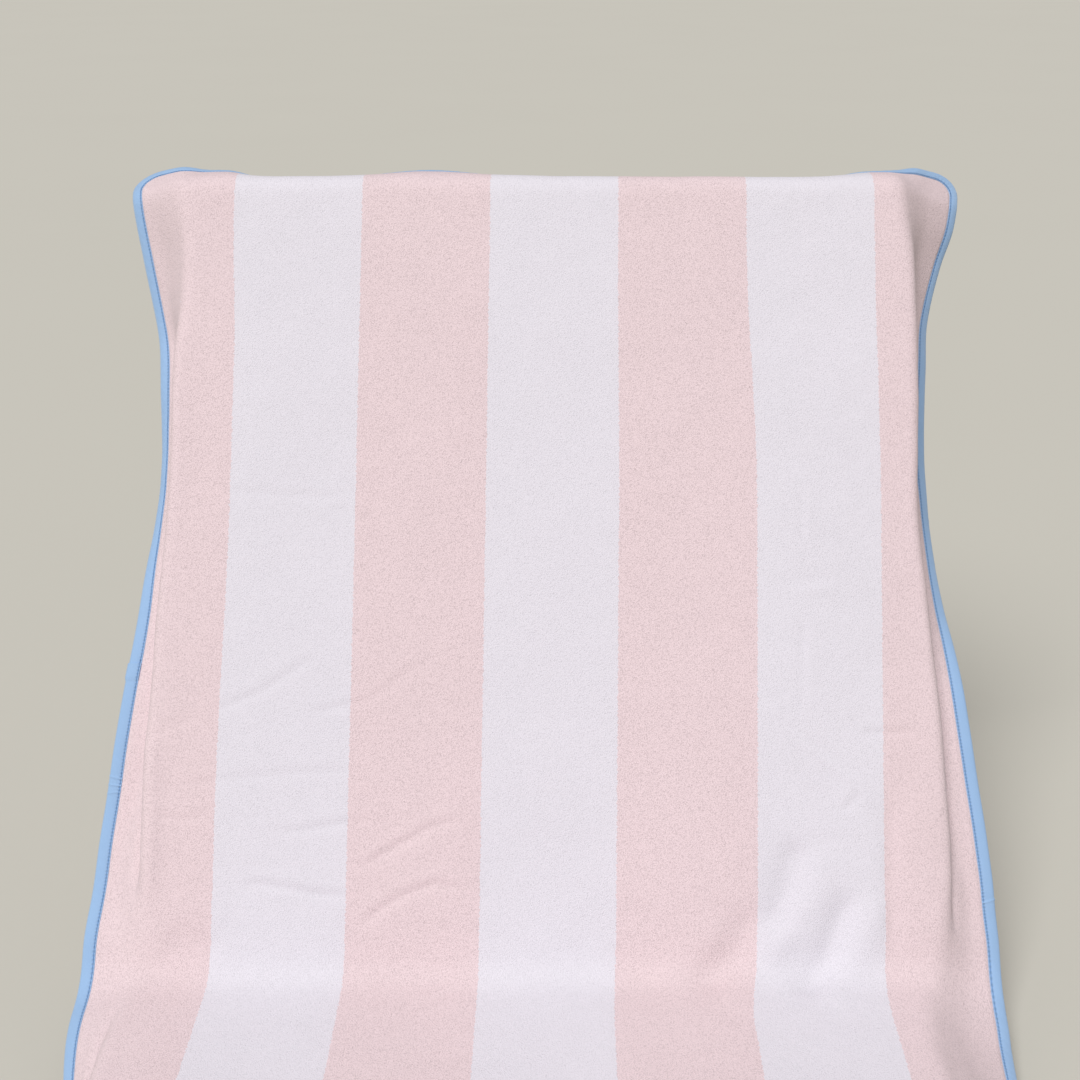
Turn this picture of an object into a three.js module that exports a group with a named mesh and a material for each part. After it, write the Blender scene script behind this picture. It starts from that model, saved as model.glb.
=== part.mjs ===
// A striped terry lounger towel with a bias-bound edge, in the shape it takes when it is draped over
// a lounger with a raised backrest. The lounger itself is not part of the object.
//
// Millimetres. +Z is up, +Y is backwards: the seat stretch runs towards -Y and the back stretch
// leans towards +Y. The origin is on the underside of the seat stretch, at its middle.
import * as THREE from 'three';

// ---- The towel, laid flat --------------------------------------------------------------------
const TOWEL_WIDTH = 800;
const TOWEL_LENGTH = 1600;
const CORNER_RADIUS = 35;
const STRIPE_COUNT = 7;
const BINDING_WIDTH = 12;

// ---- Its layers, measured out from the middle of the ground weave ------------------------------
const GAP = 0.3; // between neighbouring pieces
const GROUND_HALF = 0.4;
const PILE_HEIGHT = 1.7;
const PILE_FOOT = GROUND_HALF + GAP;
const PILE_TIP = PILE_FOOT + PILE_HEIGHT;
const TAPE_INNER = GROUND_HALF + 0.4;
const TAPE_OUTER = TAPE_INNER + 1.5; // two plies of tape on each face
const TAPE_FOLD = 1; // from the bound edge to the inside of the tape's fold
const TAPE_SHOULDER = 2.2; // from the bound edge to where the tape starts to round over
const TAPE_NOSE = { inset: 0.5, share: 0.55 }; // between the shoulder and the edge, as a share of its height
const GROUND_INSET = 1.6; // how far the cut edge of the weave stays inside the bound edge
const PILE_INSET = BINDING_WIDTH + 0.4; // the pile is shorn where the tape goes
const THREAD_SIZE = 0.5;
const THREAD_INSET = 10.6;
const THREAD_CLEAR = 0.55; // above the tape
const LAP_LENGTH = 16; // the tape's last end, lying over its first end
const LAP_AT = 477; // along the left edge, from the top hem
const LAP_RAMP = 3; // the length in which the tape or its stitching climbs onto the lap
const THREAD_RUN_ON = 2; // how far the stitching stays raised past the lap's end

// ---- The form it hangs over -------------------------------------------------------------------
const TOP_OVERHANG = 40;
const BACK_LENGTH = 697;
const BACK_LEAN = THREE.MathUtils.degToRad(62.1); // of the back stretch above the horizontal
const BEND_LENGTH = 63; // of cloth in the curve between back and seat
const TOP_CURVE = [-22, 19]; // where the cloth turns over the top edge, along its length from that edge
const TOP_TURN = THREE.MathUtils.degToRad(84);
const HEM_LIFTS = [ // stretches of the top hem that turn back less: middle, half width, angle
  [-115, 74, THREE.MathUtils.degToRad(20)],
  [-300, 30, THREE.MathUtils.degToRad(19)],
  [290, 40, THREE.MathUtils.degToRad(18)],
];
const EARS = { // the corners stand up, because they bend two ways
  left: { turn: THREE.MathUtils.degToRad(51), curve: [-12, 18] },
  right: { turn: THREE.MathUtils.degToRad(42), curve: [-4, 14] },
};
const EAR_SPREAD = [280, 352]; // from the middle, where the one turn passes into the other
const SKEW = [8.5, -0.0121]; // the middle line's shift to the right at the top edge, and its drift per mm
const BEND_AT = TOP_OVERHANG + BACK_LENGTH;
const SEAT_MIDDLE = BEND_AT + 430; // the origin, along the towel
const NORMAL_REACH = 0.5; // the step to each side by which the cloth's direction is found

// How the side flaps hang, at stations along the towel: [from the top hem, the fold's middle from the
// middle of the form, how far the flap turns down there, from the fold to where the hem flares out
// again, how far the hem is still turned down], in mm and degrees.
const LEFT_FLAP = [
  [0, 328, 30, 40, 30], [50, 324, 40, 45, 30], [100, 318, 55, 45, 30], [150, 320, 66, 50, 34],
  [200, 326, 86, 41, 30], [280, 327, 88, 35, 46], [350, 330, 88, 31, 42], [420, 336, 88, 32, 16],
  [500, 340, 86, 27, 4], [560, 344, 80, 23, 4], [620, 345, 56, 26, 4], [670, 345, 40, 28, 5],
  [720, 345, 20, 27, 5], [760, 347, 20, 32, 12], [850, 350, 58, 34, 42], [1000, 350, 70, 40, 60],
  [1600, 350, 70, 40, 60],
];
const RIGHT_FLAP = [
  [0, 319, 28, 40, 30], [40, 317, 50, 40, 39], [70, 320, 58, 40, 38], [100, 325, 72, 40, 44],
  [150, 327, 84, 48, 43], [200, 327, 86, 52, 38], [280, 326, 88, 54, 34], [350, 325, 88, 43, 42],
  [420, 332, 88, 38, 32], [500, 339, 86, 34, 4], [580, 344, 84, 26, 4], [630, 347, 76, 22, 4],
  [670, 346, 62, 22, 5], [720, 336, 32, 34, 12], [780, 316, 36, 38, 22], [850, 314, 42, 40, 34],
  [1000, 330, 66, 40, 58], [1150, 342, 70, 40, 60], [1600, 342, 70, 40, 60],
];
// The less the cloth turns in one of these curves, the wider the curve is: [half its width where it
// turns by a right angle, how much more where it doesn't turn].
const FOLD_HALF = [8, 12];
const FLARE_HALF = [9, 12];

// ---- Where the cloth is divided into facets -----------------------------------------------------
const STRIPE = TOWEL_WIDTH / STRIPE_COUNT;
const HALF_WIDTH = TOWEL_WIDTH / 2;
const CORNER_STEPS = 4;
// across an outer stripe, from its inner side; closest where it folds and flares
const OUTER_SPLITS = [0, 0.18, 0.27, 0.35, 0.42, 0.48, 0.54, 0.6, 0.66, 0.73, 0.81, 0.9, 1];
const SECOND_SPLITS = [0, 0.64, 0.86, 1]; // across the stripe next to it
const MIDDLE_SPLITS = [0, 1];
const ROWS = [
  39, 44, 49, 54, 60, 68, 84, 100, 125, 150, 190, 235, 280, 330, 380, 420, 450, 490, 530, 570, 610,
  650, 685, 705, 724, 744, 764, 790, 850, 950, 1150, 1350,
];
const STEP = 1; // of the curves' integration

const smooth = (from, to, x) => {
  const t = THREE.MathUtils.clamp((x - from) / (to - from), 0, 1);
  return t * t * t * (t * (6 * t - 15) + 10);
};

// The slope, at station `k`, of the smooth curve through a column of a station table.
function slopeOf(table, column, k) {
  const [before, here, after] = [table[k - 1] ?? table[k], table[k], table[k + 1] ?? table[k]];
  const [back, ahead] = [here[0] - before[0], after[0] - here[0]];
  if (back === 0 || ahead === 0) return (after[column] - before[column]) / (back + ahead);
  const rise = back ** 2 * (after[column] - here[column]) + ahead ** 2 * (here[column] - before[column]);
  return rise / (back * ahead * (back + ahead));
}

// A value from column `column` of a station table at v, on a smooth curve through the stations.
function atStation(table, column, v) {
  const next = Math.max(1, table.findIndex((row) => row[0] >= v));
  const [a, b] = [table[next - 1], table[next]];
  const run = b[0] - a[0];
  const t = THREE.MathUtils.clamp((v - a[0]) / run, 0, 1);
  const ends = a[column] * (1 + 2 * t) * (1 - t) ** 2 + b[column] * t * t * (3 - 2 * t);
  const bow = slopeOf(table, column, next - 1) * (1 - t) - slopeOf(table, column, next) * t;
  return ends + run * t * (1 - t) * bow;
}

const skewAt = (v) => SKEW[0] + SKEW[1] * (v - TOP_OVERHANG);

// How the cloth at u from the middle turns over the top edge: by how much, and over which length.
function topTurn(u) {
  const ear = u < 0 ? EARS.left : EARS.right;
  const share = smooth(EAR_SPREAD[0], EAR_SPREAD[1], Math.abs(u));
  const lift = HEM_LIFTS.reduce((sum, [at, half, angle]) => sum + angle * Math.exp(-(((u - at) / half) ** 2)), 0);
  return {
    turn: THREE.MathUtils.lerp(TOP_TURN - lift, ear.turn, share),
    curve: TOP_CURVE.map((end, k) => THREE.MathUtils.lerp(end, ear.curve[k], share)),
  };
}

// The slope of the cloth's length, above the horizontal, at v along it.
function slopeAt(v, { turn, curve }) {
  const s = v - TOP_OVERHANG;
  const over = turn * (1 - smooth(curve[0], curve[1], s));
  const low = smooth(BACK_LENGTH - BEND_LENGTH / 2, BACK_LENGTH + BEND_LENGTH / 2, s);
  return BACK_LEAN - over - BACK_LEAN * low;
}

// Adds up a curve's steps from its slope, and returns a function that reads a point on it.
function integrate(length, slope) {
  const points = [[0, 0]];
  for (let s = 0; s < length; s += STEP) {
    const angle = slope(s + STEP / 2);
    const [along, across] = points.at(-1);
    points.push([along + STEP * Math.cos(angle), across + STEP * Math.sin(angle)]);
  }
  return (s) => {
    const i = Math.min(Math.floor(s / STEP), points.length - 2);
    const t = s / STEP - i;
    return [0, 1].map((k) => THREE.MathUtils.lerp(points[i][k], points[i + 1][k], t));
  };
}

const kept = new Map();
function once(key, make) {
  if (!kept.has(key)) kept.set(key, make());
  return kept.get(key);
}

// A point of the middle line in the plane x = 0. All such lines meet on the flat of the backrest.
function linePoint(u, v) {
  const top = topTurn(u);
  const line = once(`line ${top.turn} ${top.curve}`, () => integrate(TOWEL_LENGTH, (s) => slopeAt(s, top)));
  const [y, z] = line(v);
  const [y0, z0] = line(SEAT_MIDDLE);
  return [y0 - y, z0 - z];
}

// Half the width of a curve of the cloth that turns by `angle`, in degrees.
const halfOf = ([least, more], angle) => least + more * THREE.MathUtils.clamp(1 - angle / 90, 0, 1);

// How far across and how far down a point of the cloth lies, at q from the middle line.
function flapPoint(side, q, v) {
  const table = side < 0 ? LEFT_FLAP : RIGHT_FLAP;
  const section = once(`section ${side} ${v}`, () => {
    const [form, fold, toFlare, hem] = [1, 2, 3, 4].map((column) => atStation(table, column, v));
    const foldAt = form - side * skewAt(v);
    const flareAt = foldAt + toFlare;
    const foldHalf = halfOf(FOLD_HALF, fold);
    const flareHalf = halfOf(FLARE_HALF, fold - hem);
    return integrate(HALF_WIDTH, (s) => THREE.MathUtils.degToRad(
      fold * smooth(foldAt - foldHalf, foldAt + foldHalf, s)
      + (hem - fold) * smooth(flareAt - flareHalf, flareAt + flareHalf, s),
    ));
  });
  return section(q);
}

// The middle of the ground weave at u across and v along the flat towel.
function onCloth(u, v) {
  const side = u < 0 ? -1 : 1;
  const [across, down] = flapPoint(side, Math.abs(u), v);
  const [y, z] = linePoint(u, v);
  const slope = v < BEND_AT / 2 ? BACK_LEAN : slopeAt(v, topTurn(0));
  return new THREE.Vector3(
    side * across + skewAt(v),
    y + down * Math.sin(slope),
    z - down * Math.cos(slope) + PILE_TIP,
  );
}

// A point at `height` above the middle of the weave, on the side that is lain on.
function offCloth(u, v, height) {
  const [u0, u1] = [Math.max(u - NORMAL_REACH, -HALF_WIDTH), Math.min(u + NORMAL_REACH, HALF_WIDTH)];
  const [v0, v1] = [Math.max(v - NORMAL_REACH, 0), Math.min(v + NORMAL_REACH, TOWEL_LENGTH)];
  const acrossCloth = onCloth(u1, v).sub(onCloth(u0, v));
  const alongCloth = onCloth(u, v1).sub(onCloth(u, v0));
  const normal = alongCloth.cross(acrossCloth).normalize();
  return onCloth(u, v).addScaledVector(normal, height);
}

// ---- The grid of the cloth inside the binding ---------------------------------------------------
const INNER_RADIUS = CORNER_RADIUS - PILE_INSET;
const cornerAngles = Array.from({ length: CORNER_STEPS + 1 }, (_, k) => (k * Math.PI) / 2 / CORNER_STEPS);
const cornerRows = cornerAngles.map((a) => CORNER_RADIUS - INNER_RADIUS * Math.cos(a));
const rows = [...cornerRows, ...ROWS, ...cornerRows.map((v) => TOWEL_LENGTH - v).reverse()];

// Half the width inside the binding, which narrows at the rounded corners.
function innerHalf(v) {
  const fromEnd = Math.min(v, TOWEL_LENGTH - v);
  const up = Math.max(CORNER_RADIUS - fromEnd, 0);
  return HALF_WIDTH - CORNER_RADIUS + Math.sqrt(Math.max(INNER_RADIUS ** 2 - up ** 2, 0));
}

function splitsOf(stripe) {
  const fromEdge = Math.min(stripe, STRIPE_COUNT - 1 - stripe);
  const splits = [OUTER_SPLITS, SECOND_SPLITS][fromEdge] ?? MIDDLE_SPLITS;
  return stripe < STRIPE_COUNT / 2 ? splits.map((f) => 1 - f).reverse() : splits;
}

// The places across one stripe at v, kept `clear` away from its neighbours.
function acrossStripe(stripe, v, clear) {
  const edges = [stripe, stripe + 1].map((k) => -HALF_WIDTH + k * STRIPE);
  const low = stripe === 0 ? -innerHalf(v) : edges[0] + clear;
  const high = stripe === STRIPE_COUNT - 1 ? innerHalf(v) : edges[1] - clear;
  return splitsOf(stripe).map((f) => THREE.MathUtils.lerp(low, high, f));
}

function acrossAll(v) {
  const all = [];
  for (let k = 0; k < STRIPE_COUNT; k += 1) all.push(...acrossStripe(k, v, 0).slice(k ? 1 : 0));
  return all;
}

// The loop round the inside of the binding, clockwise from above, as {u, v, out: [du, dv], i, j}.
function edgeLoop() {
  const last = rows.length - 1;
  const width = acrossAll(rows[0]).length - 1;
  const loop = [];
  const add = (i, j, out) => loop.push({ i, j, u: acrossAll(rows[i])[j], v: rows[i], out });
  const turned = (i) => {
    const fromEnd = Math.min(i, last - i);
    const a = cornerAngles[Math.min(fromEnd, CORNER_STEPS)];
    return [Math.sin(a), (i < last / 2 ? -1 : 1) * Math.cos(a)];
  };
  for (let j = 0; j < width; j += 1) add(0, j, [0, -1]);
  for (let i = 0; i < last; i += 1) add(i, width, turned(i));
  for (let j = width; j > 0; j -= 1) add(last, j, [0, 1]);
  for (let i = last; i > 0; i -= 1) add(i, 0, [-turned(i)[0], turned(i)[1]]);
  return loop;
}
const loop = edgeLoop();

// A point at `inset` from the bound edge and `height` above the weave, at one stop of the loop.
function atEdge(stop, inset, height) {
  const out = PILE_INSET - inset;
  return offCloth(stop.u + stop.out[0] * out, stop.v + stop.out[1] * out, height);
}

// ---- Solids ---------------------------------------------------------------------------------------
class Solid {
  constructor() {
    this.points = [];
    this.faces = [];
  }

  add(point) {
    this.points.push(point.x, point.y, point.z);
    return this.points.length / 3 - 1;
  }

  quad(a, b, c, d) {
    this.faces.push(a, b, c, a, c, d);
  }

  mesh(name, material) {
    const geometry = new THREE.BufferGeometry();
    geometry.setAttribute('position', new THREE.Float32BufferAttribute(this.points, 3));
    geometry.setIndex(this.faces);
    geometry.computeVertexNormals();
    const mesh = new THREE.Mesh(geometry, material);
    mesh.name = name;
    return mesh;
  }
}

// One face of a layer: a grid of points at `height`, looking up or down.
function addFace(solid, height, across, up) {
  const grid = rows.map((v) => across(v).map((u) => solid.add(offCloth(u, v, height))));
  for (let i = 0; i + 1 < grid.length; i += 1) {
    for (let j = 0; j + 1 < grid[i].length; j += 1) {
      const corners = [grid[i][j], grid[i + 1][j], grid[i + 1][j + 1], grid[i][j + 1]];
      // both faces are cut along the same diagonal, so that a layer keeps its thickness
      if (up) solid.quad(...corners);
      else solid.faces.push(corners[0], corners[2], corners[1], corners[0], corners[3], corners[2]);
    }
  }
  return grid;
}

// The closed boundary of a grid of point numbers, clockwise from above.
function rim(grid) {
  const last = grid.length - 1;
  const width = grid[0].length - 1;
  const around = [];
  for (let j = 0; j < width; j += 1) around.push(grid[0][j]);
  for (let i = 0; i < last; i += 1) around.push(grid[i][width]);
  for (let j = width; j > 0; j -= 1) around.push(grid[last][j]);
  for (let i = last; i > 0; i -= 1) around.push(grid[i][0]);
  return around;
}

function addBand(solid, upper, lower) {
  upper.forEach((_, k) => {
    const next = (k + 1) % upper.length;
    solid.quad(upper[k], upper[next], lower[next], lower[k]);
  });
}

// A layer of one stripe's pile, between two heights.
function pileStripe(name, stripe, low, high, material) {
  const solid = new Solid();
  const across = (v) => acrossStripe(stripe, v, GAP / 2);
  const top = addFace(solid, high, across, true);
  const bottom = addFace(solid, low, across, false);
  addBand(solid, rim(top), rim(bottom));
  return solid.mesh(name, material);
}

// The woven cloth that holds all the pile. Its cut edge runs on into the binding.
function groundWeave(material) {
  const solid = new Solid();
  const top = rim(addFace(solid, GROUND_HALF, acrossAll, true));
  const bottom = rim(addFace(solid, -GROUND_HALF, acrossAll, false));
  const topEdge = loop.map((stop) => solid.add(atEdge(stop, GROUND_INSET, GROUND_HALF)));
  const bottomEdge = loop.map((stop) => solid.add(atEdge(stop, GROUND_INSET, -GROUND_HALF)));
  addBand(solid, top, topEdge);
  addBand(solid, topEdge, bottomEdge);
  addBand(solid, bottomEdge, bottom);
  return solid.mesh('ground_weave', material);
}

// The tape's section, a U round the cut edge, as [inset, height]; `grow` lets it pass over itself.
function tapeSection(grow) {
  const [inner, outer] = [TAPE_INNER + grow, TAPE_OUTER + grow];
  const upper = [
    [BINDING_WIDTH, inner], [BINDING_WIDTH, outer],
    [TAPE_SHOULDER - grow, outer], [TAPE_NOSE.inset - grow, outer * TAPE_NOSE.share],
  ];
  const fold = [[TAPE_FOLD - grow / 2, -inner], [TAPE_FOLD - grow / 2, inner]];
  return [...upper, ...upper.map(([inset, height]) => [inset, -height]).reverse(), ...fold];
}

// The loop's stops, starting just past the lap, and the straight stretch that the lap lies on.
const firstStop = loop.findIndex((stop) => stop.j === 0 && stop.i > 0 && stop.v <= LAP_AT);
const ring = [...loop.slice(firstStop), ...loop.slice(0, firstStop)];
const [afterLap, beforeLap] = [ring[0], ring.at(-1)];
const LAP_LIFT = TAPE_OUTER - TAPE_INNER + GAP;
const [lapStart, lapEnd] = [LAP_AT + LAP_LENGTH / 2, LAP_AT - LAP_LENGTH / 2];

// A place on that stretch, lifted by `lift`, as a share of the way back from one stop to the other.
const onLap = (v, lift) => ({ stop: afterLap, lift, back: (v - afterLap.v) / (beforeLap.v - afterLap.v) });
const ringPlaces = ring.map((stop) => ({ stop, lift: 0, back: 0 }));

// Carries a section along places of the edge, and returns the point numbers of each copy.
function carry(solid, places, sectionAt) {
  return places.map(({ stop, lift, back }) => sectionAt(lift).map(([inset, height]) => {
    const point = atEdge(stop, inset, height);
    return solid.add(back ? point.lerp(atEdge(beforeLap, inset, height), back) : point);
  }));
}

// One length of bias tape, folded round the whole edge, with its last end lapped over its first.
function edgeBinding(material) {
  const solid = new Solid();
  const sections = carry(solid, [
    onLap(lapStart, 0), onLap(lapEnd, 0), ...ringPlaces,
    onLap(lapStart + LAP_RAMP, 0), onLap(lapStart + GAP, LAP_LIFT), onLap(lapEnd, LAP_LIFT),
  ], tapeSection);
  for (let k = 0; k + 1 < sections.length; k += 1) addBand(solid, sections[k + 1], sections[k]);
  const flat = tapeSection(0).map(([inset, height]) => new THREE.Vector2(inset, height));
  const inOrder = Math.sign(THREE.ShapeUtils.area(flat));
  THREE.ShapeUtils.triangulateShape(flat, []).forEach((triangle) => {
    const turned = Math.sign(THREE.ShapeUtils.area(triangle.map((k) => flat[k])));
    const [a, b, c] = turned === inOrder ? triangle : [...triangle].reverse();
    const [first, last] = [sections[0], sections.at(-1)];
    solid.faces.push(first[a], first[b], first[c], last[a], last[c], last[b]);
  });
  return solid.mesh('edge_binding', material);
}

// A line of stitching along the inner edge of the tape, on one face of the towel, and over the lap.
function seamThread(name, face, material) {
  const solid = new Solid();
  const section = (lift) => {
    const near = TAPE_OUTER + THREAD_CLEAR + lift;
    const upper = [
      [THREAD_INSET + THREAD_SIZE / 2, near], [THREAD_INSET, near + THREAD_SIZE],
      [THREAD_INSET - THREAD_SIZE / 2, near],
    ];
    return face > 0 ? upper : upper.map(([inset, height]) => [inset, -height]).reverse();
  };
  const sections = carry(solid, [
    ...ringPlaces,
    onLap(lapStart + 2 * LAP_RAMP, 0), onLap(lapStart + LAP_RAMP, LAP_LIFT),
    onLap(lapEnd - THREAD_RUN_ON, LAP_LIFT), onLap(lapEnd - THREAD_RUN_ON - LAP_RAMP, 0),
  ], section);
  sections.forEach((_, k) => addBand(solid, sections[(k + 1) % sections.length], sections[k]));
  return solid.mesh(name, material);
}

// ---- The towel ------------------------------------------------------------------------------------
const cotton = (color, roughness = 0.95) => new THREE.MeshStandardMaterial({ color, roughness, metalness: 0 });
const pinkPile = cotton('#ecd5d8');
const whitePile = cotton('#e6e2e9');
const weave = cotton('#e9e3e2');
const blueTape = cotton('#9fc3ec', 0.8);
const blueThread = cotton('#8fb6e4', 0.6);

const towel = new THREE.Group();
towel.add(groundWeave(weave));
for (let k = 0; k < STRIPE_COUNT; k += 1) {
  const pink = k % 2 === 0;
  const name = `stripe_${k + 1}_${pink ? 'pink' : 'white'}`;
  const material = pink ? pinkPile : whitePile;
  towel.add(pileStripe(`face_${name}`, k, PILE_FOOT, PILE_TIP, material));
  towel.add(pileStripe(`back_${name}`, k, -PILE_TIP, -PILE_FOOT, material));
}
towel.add(edgeBinding(blueTape));
towel.add(seamThread('needle_thread', 1, blueThread));
towel.add(seamThread('bobbin_thread', -1, blueThread));

export default towel;
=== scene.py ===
"""A striped terry lounger towel with a bias-bound edge, in the shape it takes over a raised backrest.

Metres, +Z up, in the frame of the CAD model. A place on the towel is (u, v): u across it from its
middle line, and v along it from its top hem. The towel is drawn first as a thin draped surface with
creases, and every piece is then laid onto that surface: seven stripes of terry pile, the woven ground
inside them, the bias tape round the edge, and the two threads that sew the tape on.
"""
import math

import bpy
import numpy as np
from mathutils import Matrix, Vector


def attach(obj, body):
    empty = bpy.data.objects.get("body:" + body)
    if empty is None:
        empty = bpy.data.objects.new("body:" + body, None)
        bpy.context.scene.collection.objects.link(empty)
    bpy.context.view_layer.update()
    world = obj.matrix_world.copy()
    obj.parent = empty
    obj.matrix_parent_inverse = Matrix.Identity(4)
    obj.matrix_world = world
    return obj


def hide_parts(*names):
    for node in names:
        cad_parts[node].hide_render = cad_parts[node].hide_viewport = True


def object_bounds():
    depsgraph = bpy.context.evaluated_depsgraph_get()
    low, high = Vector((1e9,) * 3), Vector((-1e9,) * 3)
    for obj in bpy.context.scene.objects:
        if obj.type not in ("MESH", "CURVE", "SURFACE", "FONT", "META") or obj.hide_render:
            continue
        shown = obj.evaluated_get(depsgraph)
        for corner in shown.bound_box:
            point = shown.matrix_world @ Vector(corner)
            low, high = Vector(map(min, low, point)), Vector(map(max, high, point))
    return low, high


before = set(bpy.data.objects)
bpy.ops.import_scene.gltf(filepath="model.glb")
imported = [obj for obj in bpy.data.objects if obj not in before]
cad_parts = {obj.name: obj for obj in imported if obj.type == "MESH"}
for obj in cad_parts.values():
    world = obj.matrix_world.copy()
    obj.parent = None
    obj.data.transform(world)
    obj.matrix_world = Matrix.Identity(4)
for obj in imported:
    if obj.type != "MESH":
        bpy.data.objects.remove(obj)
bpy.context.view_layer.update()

# ---- The towel laid flat ---------------------------------------------------------------------------
WIDTH, LENGTH = 0.800, 1.600
CORNER_RADIUS = 0.035
STRIPES = 7
STRIPE = WIDTH / STRIPES
HALF_WIDTH = WIDTH / 2
GROUND_HALF = 0.0004
PILE_TIP = 0.0024
TAPE_WIDTH = 0.012
PILE_UNDER_TAPE = 0.0016  # how far the shorn pile runs on under the tape
STITCH_INSET = 0.0106
STITCH = 0.003
LAP = (0.469, 0.485)  # along the left edge: from where to where the tape lies over itself

# ---- The form it hangs over ------------------------------------------------------------------------
TOP_OVERHANG = 0.040  # of cloth behind the form's top edge
BACK_LENGTH = 0.697
BACK_LEAN = math.radians(62.1)
BEND_LENGTH = 0.063
TOP_CURVE = (-0.022, 0.019)  # where the cloth turns over the top edge, along its length from that edge
TOP_TURN = math.radians(84)
HEM_LIFTS = [  # stretches of the top hem that turn back less: their middle, half their width, and the angle
    (-0.115, 0.074, math.radians(20)), (-0.300, 0.030, math.radians(19)), (0.290, 0.040, math.radians(18)),
]
# The corners turn over more sharply, and less far. Each side has its own.
EAR_TURN = {-1: math.radians(51), 1: math.radians(42)}
EAR_CURVE = {-1: (-0.012, 0.018), 1: (-0.004, 0.014)}
EAR_SPREAD = (0.280, 0.352)  # from the middle, where the one turn passes into the other
HALF_FORM = 0.322
SKEW = (0.0085, -0.0121)  # the middle line's shift at the top edge, and how it drifts along the cloth
# Where the cloth has drifted across the form: (u, half its width), the lengths in which the drift comes
# and goes, and how far.
DRIFTS = [
    (0.180, 0.110, 0.06, 0.36, 0.70, 0.80, 0.0095),
    (-0.270, 0.055, 0.06, 0.20, 0.32, 0.60, 0.0050),
]
DRIFT_GONE = (0.275, 0.330)  # from the middle, where the drift dies out towards the hem
BEND_AT = TOP_OVERHANG + BACK_LENGTH
SEAT_MIDDLE = BEND_AT + 0.430  # the origin, along the towel

# How the side flaps hang, at stations along the towel. A row holds the station's distance from the top
# hem; the fold's middle, from the middle of the form; how far the flap turns down there, in degrees; the
# distance from the fold to where the hem flares out again; and how far the hem is still turned down.
LEFT_FLAP = np.array([
    (0.00, 0.328, 30, 0.040, 30), (0.05, 0.324, 40, 0.045, 30), (0.10, 0.318, 55, 0.045, 30),
    (0.15, 0.320, 66, 0.050, 34), (0.20, 0.326, 86, 0.041, 30), (0.28, 0.327, 90, 0.035, 46),
    (0.35, 0.330, 92, 0.031, 42), (0.42, 0.336, 94, 0.031, 16), (0.50, 0.340, 94, 0.024, 4),
    (0.56, 0.344, 84, 0.021, 4), (0.62, 0.345, 56, 0.026, 4), (0.67, 0.345, 40, 0.028, 5),
    (0.72, 0.345, 21, 0.027, 5), (0.76, 0.347, 21, 0.032, 13), (0.85, 0.350, 57, 0.034, 42),
    (1.00, 0.350, 72, 0.040, 58), (1.15, 0.350, 66, 0.040, 60), (1.30, 0.350, 73, 0.040, 55),
    (1.45, 0.350, 67, 0.040, 62), (1.60, 0.350, 70, 0.040, 58),
])
RIGHT_FLAP = np.array([
    (0.00, 0.319, 37, 0.040, 34), (0.04, 0.317, 48, 0.040, 37), (0.07, 0.320, 56, 0.040, 40),
    (0.10, 0.325, 72, 0.040, 44), (0.15, 0.327, 84, 0.048, 43), (0.20, 0.327, 86, 0.052, 38),
    (0.28, 0.326, 88, 0.054, 34), (0.35, 0.325, 90, 0.043, 42), (0.42, 0.332, 94, 0.036, 32),
    (0.50, 0.339, 94, 0.030, 4), (0.58, 0.344, 92, 0.022, 4), (0.63, 0.347, 80, 0.020, 4),
    (0.67, 0.346, 62, 0.022, 5), (0.72, 0.336, 32, 0.034, 12), (0.78, 0.316, 36, 0.038, 22),
    (0.85, 0.314, 42, 0.040, 34), (1.00, 0.330, 66, 0.040, 58), (1.15, 0.342, 73, 0.040, 54),
    (1.30, 0.342, 66, 0.040, 62), (1.45, 0.342, 72, 0.040, 56), (1.60, 0.342, 70, 0.040, 62),
])
# The less the cloth turns in one of these curves, the wider the curve is: half its width where it turns
# by a right angle, and how much more where it doesn't turn.
FOLD_HALF, FOLD_SOFTER = 0.008, 0.012
FLARE_HALF, FLARE_SOFTER = 0.009, 0.012

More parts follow.
